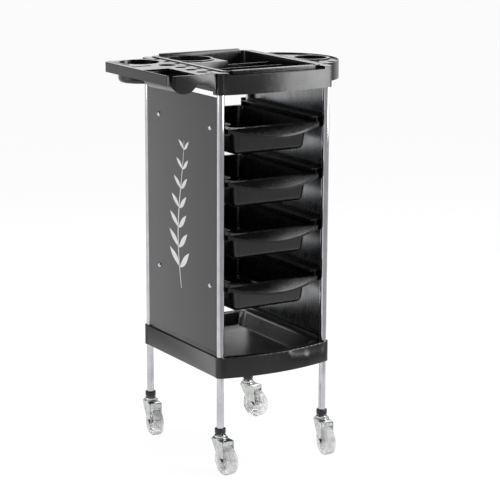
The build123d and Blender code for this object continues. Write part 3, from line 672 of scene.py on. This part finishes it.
@dataclass
class SidePanel:
    """Folded sheet panel: lacquered outside, brushed inside, with domed cap nuts.

    Attributes:
        side: which side of the cart.
        sheet_mm: sheet thickness.
        bend_mm: outer radius of the fold.
        edge_mm: rounding of the cut edges.
        cap_radius_mm: radius of a cap nut.
        cap_steps: segments round a cap nut.
    """

    side: Side
    sheet_mm: float = 1.5
    bend_mm: float = 1.2
    edge_mm: float = 0.25
    cap_radius_mm: float = 6.0
    cap_steps: int = 40

    def build(self) -> None:
        """Make the panel and its cap nuts."""
        self.build_sheet()
        self.build_caps()

    def build_sheet(self) -> None:
        """Fold the sheet and give each face its finish."""
        low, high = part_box(f"side_panel_{self.side.word}")
        sheet = self.sheet_mm * MM
        outer_x = low.x if self.side is Side.LEFT else high.x
        inner_x = outer_x - self.side.value * sheet
        flange_x = high.x if self.side is Side.LEFT else low.x
        shape = bmesh.new()
        stations = [
            (flange_x, low.y),
            (outer_x, low.y),
            (outer_x, high.y),
            (flange_x, high.y),
            (flange_x, high.y - sheet),
            (inner_x, high.y - sheet),
            (inner_x, low.y + sheet),
            (flange_x, low.y + sheet),
        ]
        ring = [shape.verts.new((x, y, low.z)) for x, y in stations]
        floor = shape.faces.new(ring)
        risen = bmesh.ops.extrude_face_region(shape, geom=[floor])
        tops = [v for v in risen["geom"] if isinstance(v, bmesh.types.BMVert)]
        bmesh.ops.translate(shape, vec=(0, 0, high.z - low.z), verts=tops)
        bmesh.ops.recalc_face_normals(shape, faces=shape.faces)
        folds = [
            e
            for e in shape.edges
            if abs(e.verts[0].co.z - e.verts[1].co.z) > 0.1
            and all(abs(v.co.x - outer_x) < SAME_PLACE for v in e.verts)
        ]
        bmesh.ops.bevel(
            shape,
            geom=folds,
            offset=self.bend_mm * MM,
            segments=5,
            profile=0.5,
            affect="EDGES",
            material=-1,
            clamp_overlap=True,
        )
        soften(shape, self.edge_mm * MM, 1, 60.0)
        for face in shape.faces:
            centre = face.calc_center_median()
            inside = abs(centre.x - outer_x) > 0.8 * sheet and abs(face.normal.x) > 0.9
            face.material_index = 1 if inside else 0
        put(
            shape,
            f"side_panel_{self.side.word}_sheet",
            "cart",
            [PANEL_LACQUER, BRUSHED],
            [f"side_panel_{self.side.word}"],
        )

    def build_caps(self) -> None:
        """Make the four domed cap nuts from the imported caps' places."""
        low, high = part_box(f"panel_caps_{self.side.word}")
        radius = self.cap_radius_mm * MM
        height = high.x - low.x
        seat_x = high.x if self.side is Side.LEFT else low.x
        turn = Matrix.Rotation(math.radians(90 * self.side.value), 4, "Y")
        shape = bmesh.new()
        for y in (low.y + radius, high.y - radius):
            for z in (low.z + radius, high.z - radius):
                cap = self.cap_nut(radius, height)
                place = Matrix.Translation((seat_x, y, z)) @ turn
                bmesh.ops.transform(cap, matrix=place, verts=cap.verts)
                merge_into(shape, cap)
        put(
            shape,
            f"panel_caps_{self.side.word}_domes",
            "cart",
            [CHROME],
            [f"panel_caps_{self.side.word}"],
            50.0,
        )

    def cap_nut(self, radius: float, height: float) -> bmesh.types.BMesh:
        """Spin one domed cap with a stepped skirt.

        Args:
            radius: skirt radius in metres.
            height: overall height in metres.

        Returns:
            The cap, its crown up.
        """
        profile = [(0.0, 0.0), (radius, 0.0), (radius, 0.12 * height), (0.93 * radius, 0.3 * height)]
        steps = 9
        for step in range(1, steps + 1):
            angle = math.radians(90 * step / steps)
            profile.append((0.88 * radius * math.cos(angle), height * (0.3 + 0.7 * math.sin(angle))))
        profile[-1] = (0.0, height)
        return spun(profile, self.cap_steps, closed=False)


@dataclass
class PanelOrnament:
    """Plain printed sprig on the outside of the left panel.

    Attributes:
        height_mm: length of the stem.
        leaf_mm: length of the largest leaf.
        stem_mm: widest width of the stem.
        sway_mm: how far the stem curves aside.
        stem_steps: steps along the stem.
        leaf_spread: degrees between a leaf and the stem.
        ink_mm: ink thickness.
        pairs: pairs of leaves.
    """

    height_mm: float = 330.0
    leaf_mm: float = 62.0
    stem_mm: float = 3.4
    sway_mm: float = 14.0
    stem_steps: int = 36
    leaf_spread: float = 48
    ink_mm: float = 0.15
    pairs: int = 7

    def build(self) -> bpy.types.Object:
        """Print the sprig.

        Returns:
            The new piece.
        """
        low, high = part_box("side_panel_left")
        centre_y = (low.y + high.y) / 2
        base_z = (low.z + high.z) / 2 - self.height_mm * MM / 2
        shape = bmesh.new()
        shares = [step / self.stem_steps for step in range(self.stem_steps + 1)]
        spine = [self.stem_point(share, base_z, centre_y) for share in shares]
        self.ribbon(shape, spine, self.stem_mm * MM, low.x)
        for pair in range(self.pairs):
            share = 0.14 + 0.8 * pair / (self.pairs - 1)
            size = self.leaf_mm * MM * (1.0 - 0.55 * share)
            root = self.stem_point(share, base_z, centre_y)
            for hand in (-1, 1):
                self.leaf(shape, root, size, math.radians(90 - hand * self.leaf_spread), low.x)
        return put(shape, "panel_sprig_print", "cart", [WHITE_INK], smooth_degrees=60.0)

    def stem_point(self, share: float, base_z: float, centre_y: float) -> tuple[float, float]:
        """Point of the gently curved stem as (Y, Z)."""
        sway = self.sway_mm * MM * math.sin(math.pi * 1.4 * share)
        return (centre_y + sway, base_z + self.height_mm * MM * share)

    def ribbon(
        self, shape: bmesh.types.BMesh, spine: Sequence[tuple[float, float]], width: float, face_x: float
    ) -> None:
        """Lay a tapered strip of ink along a line.

        Args:
            shape: geometry that grows.
            spine: (Y, Z) points.
            width: widest width in metres.
            face_x: X of the panel's face.
        """
        near, far = [], []
        for index, (y, z) in enumerate(spine):
            share = index / (len(spine) - 1)
            half = width / 2 * (0.25 + 0.75 * math.sin(math.pi * min(1.0, 0.15 + 0.85 * share)))
            near.append((y - half, z))
            far.append((y + half, z))
        self.plate(shape, near + far[::-1], face_x)

    def leaf(
        self, shape: bmesh.types.BMesh, root: tuple[float, float], size: float, angle: float, face_x: float
    ) -> None:
        """Print one pointed leaf.

        Args:
            shape: geometry that grows.
            root: (Y, Z) of the leaf's foot.
            size: leaf length in metres.
            angle: direction of its tip.
            face_x: X of the panel's face.
        """
        steps = 14
        along = [i / steps for i in range(steps + 1)]
        upper = [(t, 0.17 * math.sin(math.pi * t ** 0.8)) for t in along]
        lower = [(t, -0.1 * math.sin(math.pi * t ** 1.2)) for t in reversed(along[1:-1])]
        cos, sin = math.cos(angle), math.sin(angle)
        outline = []
        for t, w in upper + lower:
            a, b = t * size, w * size
            outline.append((root[0] + a * cos - b * sin, root[1] + a * sin + b * cos))
        self.plate(shape, outline, face_x)

    def plate(
        self, shape: bmesh.types.BMesh, outline: Sequence[tuple[float, float]], face_x: float
    ) -> None:
        """Raise an outline off the panel by the ink's thickness.

        Args:
            shape: geometry that grows.
            outline: (Y, Z) points.
            face_x: X of the panel's face.
        """
        part = bmesh.new()
        ring = [part.verts.new((face_x, y, z)) for y, z in outline]
        face = part.faces.new(ring)
        raised = bmesh.ops.extrude_face_region(part, geom=[face])
        lifted = [v for v in raised["geom"] if isinstance(v, bmesh.types.BMVert)]
        bmesh.ops.translate(part, vec=(-self.ink_mm * MM, 0, 0), verts=lifted)
        bmesh.ops.recalc_face_normals(part, faces=part.faces)
        merge_into(shape, part)


@dataclass
class Caster:
    """Swivel caster with a pressed fork and a clear wheel.

    Attributes:
        corner: which post it carries.
        wheel_mm: wheel radius.
        tread_mm: tread width.
        hub_mm: radius of the wheel's centre.
        hub_width_mm: width of the wheel's centre.
        bore_mm: radius of the axle bore.
        grooves: rings cut in each face of the tread.
        shoulder_mm: rounding of the tread's shoulder.
        shoulder_steps: steps round the shoulder.
        steps: segments round the wheel.
    """

    corner: Corner
    wheel_mm: float = 32.0
    tread_mm: float = 22.0
    hub_mm: float = 21.0
    hub_width_mm: float = 19.0
    bore_mm: float = 3.15
    grooves: int = 2
    shoulder_mm: float = 5.0
    shoulder_steps: int = 8
    steps: int = 96

    def build(self) -> None:
        """Make the wheel and dress the fork, axle, stem and collar."""
        name = self.corner.value
        self.build_wheel()
        DressedNode(f"caster_fork_{name}", f"fork_{name}", ZINC, "zinc_plate", 0.7, 3).build()
        DressedNode(f"caster_axle_{name}", f"fork_{name}", CHROME, "chrome", 0.5, 2).build()
        DressedNode(f"caster_stem_{name}", "cart", CHROME, "chrome", 0.3, 1).build()
        DressedNode(f"caster_socket_{name}", "cart", COLLAR_NYLON, "black_collar", 0.3, 2).build()

    def wheel_matrix(self) -> Matrix:
        """Placement that turns a wheel spun round Z onto its axle."""
        wanted = f"roll_{self.corner.value}"
        joint = next(j for j in frame["record"]["behaviour"]["joints"] if j["name"] == wanted)
        turn = Vector((0, 0, 1)).rotation_difference(Vector(joint["axis"]))
        return Matrix.Translation(Vector(joint["pos_m"])) @ turn.to_matrix().to_4x4()

    def build_wheel(self) -> None:
        """Spin the tread and the centre and put them on the axle."""
        name = self.corner.value
        place = self.wheel_matrix()
        rows = (
            (self.tread_profile(), "tyre", "tread", CLEAR_TREAD, "clear_tyre", 50.0),
            (self.centre_profile(), "hub", "centre", CLEAR_CENTRE, "clear_hub", 40.0),
        )
        for profile, node_word, piece_word, finish, slot, smooth_degrees in rows:
            node = f"caster_{node_word}_{name}"
            shape = spun(profile, self.steps)
            bmesh.ops.transform(shape, matrix=place, verts=shape.verts)
            put(shape, f"{node}_{piece_word}", f"wheel_{name}", [finish], [node], smooth_degrees)

    def tread_profile(self) -> list[tuple[float, float]]:
        """Half-round shouldered tread with grooved faces, as a closed ring of (radius, height)."""
        outer, half, inner = self.wheel_mm, self.tread_mm / 2, self.hub_mm
        shoulder, mouth, foot, depth = self.shoulder_mm, 0.7, 0.35, 0.6
        face = [(inner, half)]
        pitch = (outer - shoulder - inner) / (self.grooves + 1)
        for groove in range(1, self.grooves + 1):
            middle = inner + pitch * groove
            face += [(middle - mouth, half), (middle - foot, half - depth)]
            face += [(middle + foot, half - depth), (middle + mouth, half)]
        for step in range(self.shoulder_steps + 1):
            angle = math.radians(90 - 90 * step / self.shoulder_steps)
            across, up = shoulder * math.cos(angle), shoulder * math.sin(angle)
            face.append((outer - shoulder + across, half - shoulder + up))
        mirrored = [(radius, -height) for radius, height in reversed(face)]
        return [(radius * MM, height * MM) for radius, height in face + mirrored]

    def centre_profile(self) -> list[tuple[float, float]]:
        """Dished wheel centre with two ribs on each face, as a closed ring of (radius, height)."""
        half, rim = self.hub_width_mm / 2, self.hub_mm - 0.05
        face = [
            (self.bore_mm, half + 2.6),
            (7.6, half + 2.6),
            (8.0, half + 2.2),
            (8.0, half - 2.2),
            (8.5, half - 2.6),
            (11.4, half - 2.6),
            (11.8, half - 1.2),
            (12.8, half - 1.2),
            (13.2, half - 2.6),
            (16.4, half - 2.6),
            (17.0, half - 0.3),
            (17.4, half),
            (rim - 0.4, half),
            (rim, half - 0.4),
        ]
        mirrored = [(radius, -height) for radius, height in reversed(face)]
        return [(radius * MM, height * MM) for radius, height in face + mirrored]


@dataclass
class WingScrews:
    """Pan-head screws inside the top frame."""

    edge_mm: float = 0.5

    def build(self) -> None:
        """Dress the screws of both wings."""
        for side in Side:
            DressedNode(f"wing_screws_{side.word}", "cart", CHROME, "chrome", self.edge_mm, 2).build()


# ---- studio -------------------------------------------------------------------------------------
@dataclass
class StudioCamera:
    """Camera by the direction it looks from and the point it looks at.

    Attributes:
        azimuth: degrees round Z; 0 looks along +Y.
        elevation: degrees above the floor.
        roll: degrees of tilt.
        lens: focal length in millimetres on a 36 mm sensor.
        target: point in the middle of the picture.
        distance: metres from the target.
    """

    azimuth: float = -31.6765
    elevation: float = 12.861
    roll: float = 0.2828
    lens: float = 130.631
    target: Vector = field(default_factory=lambda: Vector((0.036716, 0.002325, 0.447835)))
    distance: float = 4.04803

    def build(self) -> bpy.types.Object:
        """Set the camera up.

        Returns:
            The camera object.
        """
        azimuth, elevation = math.radians(self.azimuth), math.radians(self.elevation)
        right = Vector((math.cos(azimuth), math.sin(azimuth), 0))
        back = Vector(
            (
                math.sin(azimuth) * math.cos(elevation),
                -math.cos(azimuth) * math.cos(elevation),
                math.sin(elevation),
            )
        )
        above = back.cross(right)
        tilt = math.radians(self.roll)
        side = right * math.cos(tilt) + above * math.sin(tilt)
        top = above * math.cos(tilt) - right * math.sin(tilt)
        matrix = Matrix((side, top, back)).transposed().to_4x4()
        matrix.translation = self.target + back * self.distance
        data = bpy.data.cameras.new("camera")
        data.sensor_width = 36.0
        data.lens = self.lens
        data.clip_end = 200.0
        camera = bpy.data.objects.new("camera", data)
        camera.matrix_world = matrix
        bpy.context.scene.collection.objects.link(camera)
        bpy.context.scene.camera = camera
        return camera


@dataclass(frozen=True)
class SoftBox:
    """One soft box of the studio.

    Attributes:
        name: its name.
        place: where it hangs, in metres.
        aim: point it faces.
        width: width in metres.
        height: height in metres.
        watts: power.
    """

    name: str
    place: tuple[float, float, float]
    aim: tuple[float, float, float]
    width: float
    height: float
    watts: float

    def build(self) -> None:
        """Hang the soft box."""
        data = bpy.data.lights.new(self.name, "AREA")
        data.shape = "RECTANGLE"
        data.size = self.width
        data.size_y = self.height
        data.energy = self.watts
        lamp = bpy.data.objects.new(self.name, data)
        lamp.location = self.place
        way = Vector(self.aim) - Vector(self.place)
        lamp.rotation_euler = way.to_track_quat("-Z", "Y").to_euler()
        bpy.context.scene.collection.objects.link(lamp)


@dataclass
class Studio:
    """Glowing white sweep, soft boxes and the dim room that the gloss reflects.

    Attributes:
        front: horizontal direction from the cart to the camera.
        dim_side: horizontal direction in which the floor darkens.
        floor_size: width of the floor in metres.
        boxes: the soft boxes.
    """

    front: Vector = field(default_factory=lambda: Vector((-0.525, -0.851, 0.0)))
    dim_side: Vector = field(default_factory=lambda: Vector((0.2305, -0.973, 0.0)))
    floor_size: float = 60.0
    boxes: tuple[SoftBox, ...] = (
        SoftBox("overhead", (0.1, 0.1, 2.4), (0.0, 0.0, 0.6), 1.6, 1.6, 26.0),
        SoftBox("behind", (1.15, 1.9, 1.75), (0.0, 0.0, 0.9), 3.0, 1.3, 22.0),
        SoftBox("right_front", (1.0, -0.95, 0.95), (0.1, -0.1, 0.75), 0.8, 0.85, 16.0),
        SoftBox("over_right", (1.38, 0.1, 2.3), (1.3, 0.1, 0.0), 1.0, 1.2, 34.0),
        SoftBox("left", (-2.2, 0.4, 1.3), (0.0, 0.0, 0.5), 0.7, 1.8, 16.0),
    )

    def build(self) -> None:
        """Build floor, surroundings and lights."""
        bpy.context.scene.view_settings.view_transform = "Standard"
        self.build_floor()
        self.build_surroundings()
        for box in self.boxes:
            box.build()

    def build_floor(self) -> None:
        """Lay the floor."""
        shape = bmesh.new()
        bmesh.ops.create_grid(shape, x_segments=8, y_segments=8, size=self.floor_size / 2)
        mesh = bpy.data.meshes.new("floor")
        shape.to_mesh(mesh)
        shape.free()
        floor = bpy.data.objects.new("floor", mesh)
        bpy.context.scene.collection.objects.link(floor)
        mesh.materials.append(self.floor_paint())

    def floor_paint(self) -> bpy.types.Material:
        """Lit white acrylic that dims on one side.

        Returns:
            The floor's material.
        """
        paint = bpy.data.materials.new("lit_white_acrylic")
        paint.use_nodes = True
        tree = paint.node_tree
        tree.nodes.clear()
        place = add_node(tree, "ShaderNodeTexCoord")
        sideways = add_node(
            tree,
            "ShaderNodeVectorMath",
            operation="DOT_PRODUCT",
            values={1: self.dim_side},
            links={0: place.outputs["Object"]},
        )
        share = add_node(
            tree,
            "ShaderNodeMapRange",
            interpolation_type="SMOOTHSTEP",
            values={"From Min": 0.62, "From Max": 0.9, "To Min": 0.0, "To Max": 1.0},
            links={"Value": sideways.outputs["Value"]},
        )
        mix = add_node(
            tree,
            "ShaderNodeMix",
            data_type="RGBA",
            values={6: linear("FAFAFA"), 7: linear("B4B4B4")},
            links={0: share.outputs["Result"]},
        )
        matt = add_node(
            tree,
            "ShaderNodeBsdfPrincipled",
            values={
                "Base Color": linear("4A4A4A"),
                "Roughness": 0.9,
                "Specular IOR Level": 0.0,
                "Emission Strength": 1.0,
            },
            links={"Emission Color": mix.outputs[2]},
        )
        add_node(tree, "ShaderNodeOutputMaterial", links={"Surface": matt.outputs["BSDF"]})
        return paint

    def build_surroundings(self) -> None:
        """A dim room: grey behind the cart, dark round the camera."""
        world = bpy.data.worlds.new("studio")
        bpy.context.scene.world = world
        world.use_nodes = True
        tree = world.node_tree
        tree.nodes.clear()
        place = add_node(tree, "ShaderNodeTexCoord")
        towards = add_node(
            tree,
            "ShaderNodeVectorMath",
            operation="DOT_PRODUCT",
            values={1: self.front},
            links={0: place.outputs["Generated"]},
        )
        share = add_node(
            tree,
            "ShaderNodeMapRange",
            values={"From Min": -1.0, "From Max": 1.0, "To Min": 0.0, "To Max": 1.0},
            links={"Value": towards.outputs["Value"]},
        )
        ramp = add_node(tree, "ShaderNodeValToRGB", links={"Fac": share.outputs["Result"]})
        stops = [(0.0, 0.2), (0.4, 0.16), (0.62, 0.1), (0.8, 0.06), (0.93, 0.05)]
        while len(ramp.color_ramp.elements) < len(stops):
            ramp.color_ramp.elements.new(0.5)
        for element, (position, level) in zip(ramp.color_ramp.elements, stops):
            element.position = position
            element.color = (level, level, level, 1.0)
        glow = add_node(
            tree, "ShaderNodeBackground", values={"Strength": 1.0}, links={"Color": ramp.outputs["Color"]}
        )
        add_node(tree, "ShaderNodeOutputWorld", links={"Surface": glow.outputs["Background"]})


def main() -> None:
    """Build the cart's sub-assemblies in order and set the studio."""
    logging.basicConfig(level=logging.INFO, format="%(name)s: %(message)s")
    assemblies = [Posts(), Mouldings(), PullOutTrays(), SidePanel(Side.LEFT), SidePanel(Side.RIGHT)]
    assemblies += [PanelOrnament(), WingScrews()]
    assemblies += [Caster(corner) for corner in Corner]
    for assembly in assemblies:
        assembly.build()
        LOG.info("built %s", assembly)
    StudioCamera().build()
    Studio().build()


if __name__ == "__main__":
    main()
